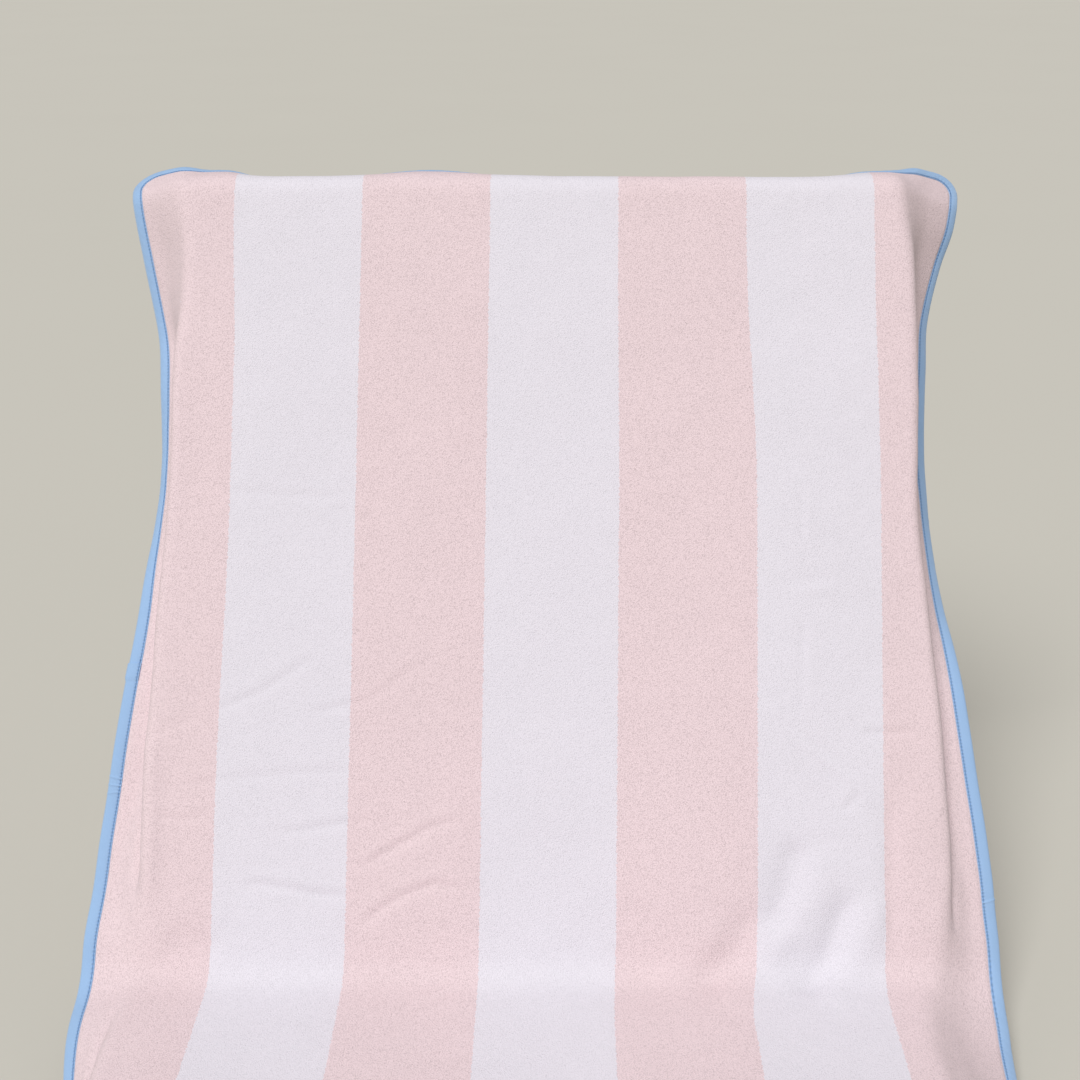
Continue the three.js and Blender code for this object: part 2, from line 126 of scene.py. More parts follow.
# Creases and soft folds that the towel keeps: a line of places, half its width, and its height.
SHARP, SOFT = 0.0042, 0.014
CREASES = [
    ([(-0.312, 0.318), (-0.197, 0.326), (-0.160, 0.317)], SHARP, -0.0003),
    ([(-0.205, 0.333), (-0.138, 0.350)], SHARP, -0.0003),
    ([(-0.307, 0.519), (-0.249, 0.494), (-0.190, 0.456)], SHARP, -0.0006),
    ([(-0.352, 0.537), (-0.300, 0.514)], SHARP, -0.0004),
    ([(-0.225, 0.518), (-0.155, 0.502), (-0.122, 0.477), (-0.094, 0.464)], SHARP, -0.0006),
    ([(-0.355, 0.582), (-0.286, 0.571), (-0.224, 0.565), (-0.135, 0.560)], SHARP, -0.0004),
    ([(-0.345, 0.599), (-0.310, 0.604), (-0.284, 0.598)], SHARP, -0.0006),
    ([(-0.250, 0.615), (-0.206, 0.613), (-0.168, 0.606), (-0.136, 0.603)], SHARP, -0.0007),
    ([(-0.170, 0.652), (-0.140, 0.633), (-0.100, 0.611), (-0.066, 0.600)], SHARP, -0.0011),
    ([(-0.272, 0.667), (-0.248, 0.658), (-0.203, 0.666), (-0.152, 0.671)], SHARP, -0.0010),
    ([(-0.168, 0.702), (-0.142, 0.680), (-0.122, 0.668), (-0.095, 0.658), (-0.058, 0.667)], SHARP, -0.0012),
    ([(-0.110, 0.773), (-0.052, 0.740)], SHARP, -0.0006),
    ([(0.200, 0.409), (0.248, 0.403)], SHARP, 0.0005),
    ([(0.258, 0.531), (0.322, 0.529)], SHARP, -0.0008),
    ([(0.194, 0.529), (0.270, 0.580)], SHARP, 0.0006),
    ([(0.245, 0.600), (0.266, 0.579)], SHARP, -0.0007),
    ([(0.210, 0.612), (0.190, 0.686), (0.181, 0.712)], 0.015, -0.0040),
    ([(0.257, 0.655), (0.232, 0.722), (0.206, 0.768)], 0.014, -0.0044),
    ([(0.170, 0.668), (0.152, 0.719), (0.117, 0.757)], 0.015, -0.0034),
    ([(0.216, 0.660), (0.177, 0.735)], 0.012, 0.0014),
    ([(0.146, 0.683), (0.098, 0.750)], SOFT, 0.0010),
    ([(0.280, 0.660), (0.262, 0.735)], SOFT, 0.0009),
    ([(0.290, 0.570), (0.293, 0.735)], 0.010, -0.0018),
    ([(0.325, 0.560), (0.330, 0.730)], SOFT, 0.0014),
    ([(0.210, 0.315), (0.210, 0.375)], SHARP, -0.0005),
    ([(0.212, 0.420), (0.209, 0.525)], SHARP, -0.0005),
    ([(-0.330, 0.700), (-0.270, 0.715)], SOFT, -0.0016),
    ([(-0.357, 0.515), (-0.356, 0.590), (-0.354, 0.690)], 0.0070, -0.0058),
    ([(0.356, 0.520), (0.357, 0.620), (0.352, 0.720)], 0.0065, -0.0034),
    ([(-0.350, 0.745), (-0.358, 0.785), (-0.370, 0.870), (-0.375, 0.960)], 0.006, -0.0030),
    ([(-0.345, 0.745), (-0.335, 0.900), (-0.350, 1.050)], SOFT, -0.0012),
    ([(0.318, 0.770), (0.322, 0.860), (0.330, 0.980)], SOFT, -0.0016),
    ([(-0.210, 0.900), (-0.140, 1.010), (-0.120, 1.120)], SOFT, 0.0016),
    ([(0.060, 1.000), (0.160, 1.060), (0.210, 1.170)], SOFT, 0.0016),
    ([(-0.080, 1.230), (0.020, 1.280), (0.150, 1.270)], SOFT, 0.0014),
    ([(-0.250, 1.340), (-0.160, 1.400), (-0.050, 1.420)], SOFT, 0.0016),
]
CREASE_TAPER = 0.3  # of its length, at each end, in which a crease dies out
# The low shoulder on one side of a crease: how far off and how wide, in halves of the crease, and how deep.
SHOULDER_OFF, SHOULDER_HALF, SHOULDER_DEPTH = 1.8, 1.3, 0.45
CREASE_REACH = 5  # how far a crease is felt, in halves of its width
# The cloth's gentle unevenness: the size of its bumps, and their height.
BROAD_BUMPS, FINE_BUMPS = (0.070, 0.0006), (0.026, 0.00022)
FLAP_BUMP = 0.085
FLAP_HEIGHT, SEAT_FLAP_HEIGHT = 0.0003, 0.0016  # of the bumps in the flaps, and how much more at the seat
SEAT_FLAPS_FROM = (0.80, 0.95)

# ---- The draped surface ----------------------------------------------------------------------------
STEP = 0.001
MARGIN = 0.004  # the table runs on past the edge, so that the tape's rounded side can be laid on it
# How much of the towel's width and length the random heights span, and how far before it they start.
NOISE_SPAN, NOISE_FROM = (1.2, 1.1), (0.55, 0.03)
LIES_WITHIN = (HALF_FORM + 0.02, HALF_FORM - 0.05)  # from where to where the cloth comes to lie on the form
QS = np.arange(0, HALF_WIDTH + MARGIN + STEP / 2, STEP)
US = np.concatenate([-QS[:0:-1], QS])
VS = np.arange(-MARGIN, LENGTH + MARGIN + STEP / 2, STEP)


def smooth(start, end, x):
    t = np.clip((x - start) / (end - start), 0, 1)
    return t * t * t * (t * (6 * t - 15) + 10)


def at_station(table, column, v):
    """A value of a station table at v, on a smooth curve through the stations."""
    stops, values = table[:, 0], table[:, column]
    slope = np.gradient(values, stops)
    k = np.clip(np.searchsorted(stops, v), 1, len(stops) - 1)
    run = stops[k] - stops[k - 1]
    t = np.clip((v - stops[k - 1]) / run, 0, 1)
    ends = values[k - 1] * (1 + 2 * t) * (1 - t) ** 2 + values[k] * t * t * (3 - 2 * t)
    return ends + run * t * (1 - t) * (slope[k - 1] * (1 - t) - slope[k] * t)


def summed(values, axis):
    """The running integral of values along an axis, from zero, by the trapezium rule."""
    values = np.moveaxis(values, axis, 0)
    steps = (values[1:] + values[:-1]) * STEP / 2
    total = np.concatenate([np.zeros((1,) + steps.shape[1:]), np.cumsum(steps, 0)])
    return np.moveaxis(total, 0, axis)


def skew_at(v):
    return SKEW[0] + SKEW[1] * (v - TOP_OVERHANG)


def slopes(turn, curve):
    """The slope of the cloth's length at every v, for each turn over the top edge and its curve's span."""
    s = VS[:, None] - TOP_OVERHANG
    over = turn * (1 - smooth(*curve, s))
    low = smooth(BACK_LENGTH - BEND_LENGTH / 2, BACK_LENGTH + BEND_LENGTH / 2, s)
    return BACK_LEAN - over - BACK_LEAN * low


def drift_at(u, v):
    """How far the cloth has drifted across the form at a place."""
    drift = 0 * u
    for at, half, first, full, last, gone, amount in DRIFTS:
        across = np.exp(-(((u - at) / half) ** 2))
        drift = drift + amount * across * smooth(first, full, v) * smooth(gone, last, v)
    return drift * smooth(*DRIFT_GONE[::-1], np.abs(u))


def flap_section(side, table):
    """How far across and how far down the cloth lies, at every v and at each distance from the middle."""
    fold_at, fold, flare_at, hem = (at_station(table, k, VS)[:, None] for k in range(1, 5))
    fold_half = FOLD_HALF + FOLD_SOFTER * np.clip(1 - fold / 90, 0, 1)
    flare_half = FLARE_HALF + FLARE_SOFTER * np.clip(1 - (fold - hem) / 90, 0, 1)
    fold_at = fold_at - side * skew_at(VS)[:, None]
    flare_at = fold_at + flare_at
    turned = smooth(fold_at - fold_half, fold_at + fold_half, QS)
    flared = smooth(flare_at - flare_half, flare_at + flare_half, QS)
    angle = np.radians(fold * turned + (hem - fold) * flared)
    return summed(np.cos(angle), 1), summed(np.sin(angle), 1)


def lattice_noise(u, v, cell, seed):
    """Smooth random heights from -1 to 1 over the cloth, in bumps about a cell apart."""
    cells_u, cells_v = (cell, cell) if np.isscalar(cell) else cell
    rng = np.random.default_rng(seed)
    spans = LENGTH * NOISE_SPAN[1], WIDTH * NOISE_SPAN[0]
    table = rng.uniform(-1, 1, (int(spans[0] / cells_v) + 4, int(spans[1] / cells_u) + 4))
    x, y = (u + NOISE_FROM[0] * WIDTH) / cells_u, (v + NOISE_FROM[1] * LENGTH) / cells_v
    i, j = np.floor(x).astype(int), np.floor(y).astype(int)
    a, b = smooth(0, 1, x - i), smooth(0, 1, y - j)
    low = table[j, i] * (1 - a) + table[j, i + 1] * a
    high = table[j + 1, i] * (1 - a) + table[j + 1, i + 1] * a
    return low * (1 - b) + high * b


def crease_height(u, v, line, half, height):
    """The height of one crease: a soft ridge or valley along a line, with a low shoulder on one side."""
    line = np.array(line)
    lengths = np.linalg.norm(np.diff(line, axis=0), axis=1)
    nearest = np.full(u.shape, 1e9)
    along = np.zeros(u.shape)
    signed = np.zeros(u.shape)
    gone = 0.0
    for (a, b), length in zip(zip(line, line[1:]), lengths):
        du, dv = (b - a) / length
        t = np.clip((u - a[0]) * du + (v - a[1]) * dv, 0, length)
        off_u, off_v = u - a[0] - t * du, v - a[1] - t * dv
        away = np.hypot(off_u, off_v)
        closer = away < nearest
        nearest = np.where(closer, away, nearest)
        along = np.where(closer, gone + t, along)
        signed = np.where(closer, np.copysign(away, off_u * dv - off_v * du), signed)
        gone += length
    share = along / gone
    ends = smooth(0, CREASE_TAPER, share) * smooth(0, CREASE_TAPER, 1 - share)
    shoulder = np.exp(-(((signed - SHOULDER_OFF * half) / (SHOULDER_HALF * half)) ** 2))
    return height * ends * (np.exp(-((nearest / half) ** 2)) - SHOULDER_DEPTH * shoulder)


def relaxed_height(u, v):
    """The cloth's gentle unevenness and its creases, as a height above the smooth drape."""
    lies = smooth(*LIES_WITHIN, np.abs(u))
    height = np.zeros(u.shape)
    for seed, (cell, rise) in enumerate((BROAD_BUMPS, FINE_BUMPS), 1):
        height += rise * lattice_noise(u, v, cell, seed)
    flap_height = FLAP_HEIGHT + SEAT_FLAP_HEIGHT * smooth(*SEAT_FLAPS_FROM, v)
    height += (1 - lies) * lattice_noise(u, v, FLAP_BUMP, 3) * flap_height
    for line, half, rise in CREASES:
        reach = np.array(line)
        first, last = reach[:, 1].min() - CREASE_REACH * half, reach[:, 1].max() + CREASE_REACH * half
        near_v = (v[:, 0] > first) & (v[:, 0] < last)
        height[near_v] += crease_height(u[near_v], v[near_v], line, half, rise)
    return height


def normals_of(points):
    along = np.gradient(points, axis=0)
    across = np.gradient(points, axis=1)
    normal = np.cross(along, across)
    return normal / np.linalg.norm(normal, axis=2, keepdims=True)


def drape():
    """The middle of the cloth at every (v, u) of the table, and its normals on the side lain on."""
    ear = smooth(*EAR_SPREAD, np.abs(US))[None, :]
    middle = TOP_TURN - sum(lift * np.exp(-(((US - at) / half) ** 2)) for at, half, lift in HEM_LIFTS)
    ear_turn = np.where(US < 0, EAR_TURN[-1], EAR_TURN[1])
    ear_curve = [np.where(US < 0, left, right) for left, right in zip(EAR_CURVE[-1], EAR_CURVE[1])]
    curve = [a * (1 - ear) + b * ear for a, b in zip(TOP_CURVE, ear_curve)]
    slope = slopes(middle * (1 - ear) + ear_turn * ear, curve)
    y, z = -summed(np.cos(slope), 0), -summed(np.sin(slope), 0)
    at_origin = int(round((SEAT_MIDDLE - VS[0]) / STEP))
    y, z = y - y[at_origin], z - z[at_origin]
    sections = {side: flap_section(side, table) for side, table in ((-1, LEFT_FLAP), (1, RIGHT_FLAP))}
    across = np.concatenate([-sections[-1][0][:, :0:-1], sections[1][0]], 1)
    down = np.concatenate([sections[-1][1][:, :0:-1], sections[1][1]], 1)
    lean = np.where(VS[:, None] < BEND_AT / 2, BACK_LEAN, slopes(TOP_TURN, TOP_CURVE))
    points = np.stack([
        across + skew_at(VS)[:, None],
        y + down * np.sin(lean),
        z - down * np.cos(lean) + PILE_TIP,
    ], 2)
    u, v = np.meshgrid(US, VS)
    points[..., 0] += drift_at(u, v)
    points = points + normals_of(points) * relaxed_height(u, v)[..., None]
    return points, normals_of(points)


POINTS, NORMALS = drape()
# ---- End of the draped surface -----------------------------------------------------------------------


def read(table, u, v):
    """A table's values at places of the cloth, from the four entries round each."""
    x, y = (u - US[0]) / STEP, (v - VS[0]) / STEP
    i = np.clip(np.floor(x).astype(int), 0, len(US) - 2)
    j = np.clip(np.floor(y).astype(int), 0, len(VS) - 2)
    a, b = (x - i)[..., None], (y - j)[..., None]
    low = table[j, i] * (1 - a) + table[j, i + 1] * a
    high = table[j + 1, i] * (1 - a) + table[j + 1, i + 1] * a
    return low * (1 - b) + high * b


def off_cloth(u, v, height):
    """Points at a height above the middle of the cloth, on the side that is lain on."""
    return read(POINTS, u, v) + read(NORMALS, u, v) * height[..., None]


# ---- Meshes ------------------------------------------------------------------------------------------
SHARP_ANGLE = math.radians(55)
PLACE = "cloth_place"  # the attribute that keeps each point's place on the cloth


def add_mesh(name, points, faces, places, material):
    """A piece from its points and its groups of faces. Each point's place on the cloth is kept for the
    materials, which draw their loops, weave and stripes by it."""
    mesh = bpy.data.meshes.new(name)
    sizes = np.concatenate([np.full(len(group), group.shape[1]) for group in faces])
    corners = np.concatenate([group.ravel() for group in faces]).astype(np.int32)
    mesh.vertices.add(len(points))
    mesh.vertices.foreach_set("co", points.astype(np.float32).ravel())
    mesh.loops.add(len(corners))
    mesh.loops.foreach_set("vertex_index", corners)
    mesh.polygons.add(len(sizes))
    mesh.polygons.foreach_set("loop_start", (np.cumsum(sizes) - sizes).astype(np.int32))
    mesh.update(calc_edges=True)
    place = mesh.attributes.new(PLACE, "FLOAT_VECTOR", "POINT")
    place.data.foreach_set("vector", places.astype(np.float32).ravel())
    mesh.shade_smooth()
    mesh.set_sharp_from_angle(angle=SHARP_ANGLE)
    mesh.materials.append(material)
    piece = bpy.data.objects.new(name, mesh)
    bpy.context.scene.collection.objects.link(piece)
    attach(piece, "root")
    return piece


def sheet_faces(rows, columns):
    """The quads of a closed sheet: an upper grid, a lower grid after it, and the wall round them."""
    number = np.arange(rows * columns).reshape(rows, columns)
    a, b, c, d = number[:-1, :-1], number[1:, :-1], number[1:, 1:], number[:-1, 1:]
    upper = np.stack([a, b, c, d], 2).reshape(-1, 4)
    lower = upper[:, ::-1] + number.size
    rim = np.concatenate([number[:-1, 0], number[-1, :-1], number[:0:-1, -1], number[0, :0:-1]])
    ahead = np.roll(rim, -1)
    wall = np.stack([ahead, rim, rim + number.size, ahead + number.size], 1)
    return np.concatenate([upper, lower, wall])


def tube_faces(rings, size, closed):
    """The quads of a tube of rings, and the two ends of one that isn't closed."""
    number = np.arange(rings * size).reshape(rings, size)
    last = number if closed else number[:-1]
    ahead = np.roll(number, -1, 0) if closed else number[1:]
    quads = np.stack([last, ahead, np.roll(ahead, -1, 1), np.roll(last, -1, 1)], 2).reshape(-1, 4)
    return [quads] if closed else [quads, number[:1, :], number[-1:, ::-1]]


# ---- Pile and ground -----------------------------------------------------------------------------------
PILE_CELL = 0.0020
PILE_INSET = TAPE_WIDTH - PILE_UNDER_TAPE
PRESSED_PILE = 0.0010  # the height of the pile where the tape presses on it
PILE_RISE = (TAPE_WIDTH - 0.0008, TAPE_WIDTH + 0.0028)  # from where to where it stands up beside the tape
LOOP_RELIEF, LOOP = 0.00004, (0.0016, 0.0019)
TUFT_RELIEF, TUFT = 0.00005, 0.0052
FACE_SEED, BACK_SEED = 11, 21
GROUND_CELL = 0.008
GROUND_INSET = 0.0016


def half_inside(v, inset):
    """Half the towel's width at v, at an inset from its bound edge, narrower at the rounded corners."""
    radius = CORNER_RADIUS - inset
    up = np.maximum(CORNER_RADIUS - np.minimum(v, LENGTH - v), 0)
    return HALF_WIDTH - CORNER_RADIUS + np.sqrt(np.maximum(radius**2 - up**2, 0))


def inset_of(u, v):
    """How far a place lies inside the bound edge."""
    across, along = HALF_WIDTH - np.abs(u), np.minimum(v, LENGTH - v)
    in_corner = (across < CORNER_RADIUS) & (along < CORNER_RADIUS)
    round_it = CORNER_RADIUS - np.hypot(CORNER_RADIUS - across, CORNER_RADIUS - along)
    return np.where(in_corner, round_it, np.minimum(across, along))


def pile_height(u, v, seed):
    """How high the pile stands above the middle of the cloth, with its loops and tufts."""
    rises = smooth(*PILE_RISE, inset_of(u, v))
    loops = LOOP_RELIEF * lattice_noise(u, v, LOOP, seed)
    tufts = TUFT_RELIEF * lattice_noise(u, v, TUFT, seed + 1)
    return PRESSED_PILE + (PILE_TIP - PRESSED_PILE + loops + tufts) * rises


def stripe_span(k, v, inset):
    """The two sides of a stripe at v; the outer stripes end at the tape."""
    low = -half_inside(v, inset) if k == 0 else np.full(v.shape, k * STRIPE - HALF_WIDTH)
    high = half_inside(v, inset) if k == STRIPES - 1 else np.full(v.shape, (k + 1) * STRIPE - HALF_WIDTH)
    return low, high


def cloth_grid(low, high, v, cell):
    """Places in rows from low to high at every v, about a cell apart."""
    columns = int(np.ceil((high - low).max() / cell)) + 1
    share = np.linspace(0, 1, columns)
    return low[:, None] * (1 - share) + high[:, None] * share, np.repeat(v[:, None], columns, 1)


def add_sheet(name, u, v, above, below, material):
    """A closed sheet between two heights over a grid of places."""
    points = np.concatenate([off_cloth(u, v, h).reshape(-1, 3) for h in (above, -below)])
    places = np.concatenate([np.stack([u, v, h], 2).reshape(-1, 3) for h in (above, -below)])
    return add_mesh(name, points, [sheet_faces(*u.shape)], places, material)


def along_towel(inset, cell):
    """The rows' distances from the top hem, about a cell apart."""
    return np.linspace(inset, LENGTH - inset, int(np.ceil((LENGTH - 2 * inset) / cell)) + 1)


def add_stripe(k, material):
    v = along_towel(PILE_INSET, PILE_CELL)
    u, v = cloth_grid(*stripe_span(k, v, PILE_INSET), v, PILE_CELL)
    colour = "white" if k % 2 else "pink"
    name = f"terry_stripe_{k + 1}_{colour}"
    above, below = (pile_height(u, v, seed) for seed in (FACE_SEED, BACK_SEED))
    stripe = add_sheet(name, u, v, above, below, material)
    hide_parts(f"face_stripe_{k + 1}_{colour}", f"back_stripe_{k + 1}_{colour}")
    return stripe


def add_ground(material):
    v = along_towel(GROUND_INSET, GROUND_CELL)
    half = half_inside(v, GROUND_INSET)
    u, v = cloth_grid(-half, half, v, GROUND_CELL)
    thin = np.full(u.shape, GROUND_HALF)
    ground = add_sheet("towel_ground", u, v, thin, thin, material)
    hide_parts("ground_weave")
    return ground


# ---- The bound edge --------------------------------------------------------------------------------------
LAP_MIDDLE = sum(LAP) / 2
LAP_HALF = (LAP[1] - LAP[0]) / 2
CORNER_ARC = math.pi / 2 * CORNER_RADIUS
SIDE_RUN, END_RUN = LENGTH - 2 * CORNER_RADIUS, WIDTH - 2 * CORNER_RADIUS
EDGE_LENGTH = 2 * SIDE_RUN + 2 * END_RUN + 4 * CORNER_ARC
TAPE_STEP = 0.0016
LAP_RISE, LAP_RAMP = 0.0010, 0.0015  # how far the lap lifts the tape, and half the length it climbs in
NOSE_REACH, NOSE_SHARE = 0.003, 0.6  # how wide the tape's rounded side is, and how much less it lifts there
NOSE_SWELL = 0.5  # the share of the relief by which the rounded side swells outwards

# The tape's outside from its inner edge on the face to its rounded outer side, as (inset, height) in mm;
# the back is the same, and the inside of the fold lies against the weave.
TAPE_SIDE = [
    (12.0, 0.7), (12.15, 1.25), (11.95, 1.75), (11.4, 1.9), (10.6, 1.68), (9.8, 1.9), (8.2, 2.15),
    (6.2, 2.28), (4.2, 2.28), (2.6, 2.12), (1.3, 1.72), (0.45, 1.1), (0.05, 0.4),
]
TAPE_INSIDE = [(12.0, -0.5), (1.3, -0.45), (1.3, 0.45), (12.0, 0.5)]
SEWN_AT = 4  # the point of the tape's side that the stitches draw in


def edge_places(s):
    """The places round the towel's edge at distances s from the lap, and the ways out from them."""
    runs = [LAP_MIDDLE - CORNER_RADIUS, CORNER_ARC, END_RUN, CORNER_ARC, SIDE_RUN, CORNER_ARC, END_RUN,
            CORNER_ARC, LENGTH - CORNER_RADIUS - LAP_MIDDLE]
    stops = np.concatenate([[0], np.cumsum(runs)])
    turns = np.array([2, 2, 3, 3, 4, 4, 5, 5, 6, 6]) * math.pi / 2  # a quarter turn at each corner
    left, right = CORNER_RADIUS - HALF_WIDTH, HALF_WIDTH - CORNER_RADIUS
    top, bottom = CORNER_RADIUS, LENGTH - CORNER_RADIUS
    s = np.mod(s, EDGE_LENGTH)
    out = np.stack([f(np.interp(s, stops, turns)) for f in (np.cos, np.sin)], 1)
    centre_u = np.interp(s, stops, [left] * 3 + [right] * 4 + [left] * 3)
    centre_v = np.interp(s, stops, [LAP_MIDDLE] + [top] * 4 + [bottom] * 4 + [LAP_MIDDLE])
    return np.stack([centre_u, centre_v], 1) + CORNER_RADIUS * out, out


def on_edge(s, inset, height):
    """Points at insets from the bound edge and heights off the cloth, at distances s round it."""
    place, out = edge_places(s)
    u = place[:, :1] - out[:, :1] * inset
    v = place[:, 1:] - out[:, 1:] * inset
    return off_cloth(u, v, height)


def distance_round(side, v):
    """The distance s round the edge, from the lap, of a place on the left or right edge."""
    if side < 0:
        return LAP_MIDDLE - v if v < LAP_MIDDLE else EDGE_LENGTH + LAP_MIDDLE - v
    return LAP_MIDDLE - CORNER_RADIUS + 2 * CORNER_ARC + END_RUN + v - CORNER_RADIUS


def edge_noise(s, cell, seed):
    """Smooth random values from -1 to 1 along the edge, about a cell apart."""
    rng = np.random.default_rng(seed)
    values = rng.uniform(-1, 1, int(EDGE_LENGTH / cell) + 20)
    x = s / cell + 8
    i = np.floor(x).astype(int)
    share = smooth(0, 1, x - i)
    return values[i] * (1 - share) + values[i + 1] * share


TAPE_SEAMS = [  # cross seams in the tape: place, slant, height in mm
    (distance_round(-1, 0.5705), 0.25, 0.55), (distance_round(-1, 0.5770), 0.1, 0.50),
    (distance_round(-1, 0.5835), -0.15, 0.40), (distance_round(-1, 0.4755), 0.3, 0.50),
    (distance_round(1, 0.335), 0.9, 0.3), (distance_round(1, 0.671), 0.8, 0.5),
    (distance_round(1, 0.677), -0.3, 0.5), (distance_round(1, 1.242), 0.9, 0.45),
    (distance_round(-1, 1.383), 0.9, 0.35),
]
SEAM_HALF = 0.0009
SEAM_RUN, SEAM_STEP = 0.0045, 0.00037  # where the tape's mesh is finer, and by how much
NEEDLE_DIP, NEEDLE_WIDE = 0.00050, 0.0010  # the needle holes' dimples
# The tape's fine relief: slanted drag lines, puckers between stitches, gathers at the corners, and slack.
DRAG, DRAG_PERIOD, DRAG_SLANT, DRAG_CELL = 0.00009, 0.0092, 0.9, 0.03
PUCKER, PUCKER_CELL = 0.00010, 0.0045
GATHER, GATHER_PERIOD = 0.00022, 0.0061
SLACK, SLACK_CELL = 0.00012, 0.018


def tape_relief(s, inset):
    """What stands out of the tape's smooth section: seams, puckers along the stitching, and drag lines."""
    across = inset / TAPE_WIDTH
    body = np.clip(4 * across * (1 - across), 0, 1)
    curved = np.abs(edge_places(s[:, 0])[1]).min(1, keepdims=True) > 0.01
    phase = 2 * math.pi * (s + DRAG_SLANT * inset) / DRAG_PERIOD + 3 * edge_noise(s, DRAG_CELL, 31)
    drag = DRAG * np.sin(phase)
    pucker = PUCKER * edge_noise(s, PUCKER_CELL, 32) * smooth(0.4, 0.9, across)
    gather = GATHER * curved * np.sin(2 * math.pi * s / GATHER_PERIOD) * smooth(0.35, 0.8, across)
    relief = (drag + SLACK * edge_noise(s, SLACK_CELL, 33)) * body + pucker + gather
    for place, slant, height in TAPE_SEAMS:
        off = (s - place + slant * (inset - TAPE_WIDTH / 2)) / SEAM_HALF
        relief = relief + height / 1000 * np.exp(-(off**2))
    needle = 0.5 + 0.5 * np.cos(2 * math.pi * s / STITCH)
    return relief - NEEDLE_DIP * needle * np.exp(-(((inset - STITCH_INSET) / NEEDLE_WIDE) ** 2))


def lap_lift(s):
    """How far the tape's last end is lifted over its first."""
    return LAP_RISE * smooth(EDGE_LENGTH - LAP_HALF - LAP_RAMP, EDGE_LENGTH - LAP_HALF + LAP_RAMP, s)


def girth_along(section):
    """How far round a section each of its points lies from the first."""
    return np.concatenate([[0], np.cumsum(np.linalg.norm(np.diff(section, axis=0), axis=1))])


SEAM_GIRTH = girth_along(np.array(TAPE_SIDE) / 1000)[SEWN_AT]


def tape_rings():
    """The distances s at which the tape has a ring of points, closer together at its seams."""
    steps = int(round(EDGE_LENGTH / TAPE_STEP))
    even = np.arange(-LAP_HALF, EDGE_LENGTH + LAP_HALF, EDGE_LENGTH / steps)
    finer = np.arange(-SEAM_RUN, SEAM_RUN, SEAM_STEP)
    return np.unique(np.concatenate([even] + [place + finer for place, _, _ in TAPE_SEAMS]))


def add_binding(material):
    s = tape_rings()[:, None]
    side = np.array(TAPE_SIDE) / 1000
    inside = np.array(TAPE_INSIDE) / 1000
    back = side[::-1] * (1, -1)
    section = np.concatenate([side, back, inside])
    inset, height = section[:, 0][None, :], section[:, 1][None, :]
    outer = np.arange(len(section)) < len(side) + len(back)
    way = np.sign(height)
    relief = tape_relief(s, np.broadcast_to(inset, (len(s), len(section)))) * outer
    lift = lap_lift(s)
    near_nose = smooth(NOSE_REACH, 0.0, inset)
    height = height + way * (relief + lift) * (1 - NOSE_SHARE * near_nose * outer)
    inset = inset - (lift + NOSE_SWELL * relief) * near_nose * outer + 0 * s
    points = on_edge(s[:, 0], inset, height)
    places = np.stack(np.broadcast_arrays(s, girth_along(section)[None, :], lift), 2)
    faces = tube_faces(len(s), len(section), closed=False)
    binding = add_mesh("bias_binding", points.reshape(-1, 3), faces, places.reshape(-1, 3), material)
    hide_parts("edge_binding")
    return binding


THREAD_RADIUS = 0.00028
THREAD_SIDES = 6
STEPS_IN_STITCH = 6
THREAD_BED = 0.00172  # the tape's height under the stitches
THREAD_PROUD, THREAD_DIP = 0.00016, 0.00062  # above that between two holes, and how much lower at a hole
STITCH_FLATNESS = 0.6  # below 1, a stitch runs level for longer before it dips


def add_thread(name, node, face, material):
    """A line of lockstitch: each stitch lies on the tape, and sinks into its needle holes at both ends."""
    stitches = int(round(EDGE_LENGTH / STITCH))
    count = stitches * STEPS_IN_STITCH
    s = np.arange(count)[:, None] * EDGE_LENGTH / count
    risen = np.abs(np.sin(math.pi * stitches * s / EDGE_LENGTH)) ** STITCH_FLATNESS
    over_lap = np.maximum(lap_lift(s), lap_lift(s + EDGE_LENGTH) * (s < LAP_HALF + LAP_RAMP))
    height = THREAD_BED + over_lap + THREAD_PROUD - THREAD_DIP * (1 - risen)
    angle = np.arange(THREAD_SIDES)[None, :] * 2 * math.pi / THREAD_SIDES
    inset = STITCH_INSET + THREAD_RADIUS * np.cos(angle) + 0 * s
    points = on_edge(s[:, 0], inset, face * (height + THREAD_RADIUS * np.sin(angle)))
    places = np.stack(np.broadcast_arrays(s, angle * THREAD_RADIUS, height), 2)
    faces = tube_faces(count, THREAD_SIDES, closed=True)
    if face < 0:
        faces = [group[:, ::-1] for group in faces]
    thread = add_mesh(name, points.reshape(-1, 3), faces, places.reshape(-1, 3), material)
    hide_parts(node)
    return thread


# ---- Materials -------------------------------------------------------------------------------------------
PINK = (0.728, 0.588, 0.614, 1)
WHITE = (0.706, 0.674, 0.734, 1)
COTTON = (0.80, 0.76, 0.73, 1)
BLUE = (0.306, 0.472, 0.722, 1)
THREAD_BLUE = (0.130, 0.290, 0.600, 1)


# The painted shade in the tape's needle holes: how far it reaches across the tape, and how dark it is.
HOLE_REACH, HOLE_PAINTED_SHADE = 0.0016, 0.45  # of a needle hole, across the tape
WAVER, WAVER_SCALE = 0.0035, 520.0  # of the stripes' edges
LOOP_SCALE, LOOP_MIDDLE = 1100.0, 0.45
# Painted shade between the loops: the colour darkens away from each loop's middle, less in white.
LOOP_SHADE, LESS_IN_WHITE = -0.36, 0.22  # the shade between the loops shows less in white
FIBRE_SCALE, PATCH_SCALE, CLOUD_SCALE = 2600.0, 60.0, 9.0
PATCH_SHADE, CLOUD_SHADE, FIBRE_SHADE = 0.035, 0.040, 0.050


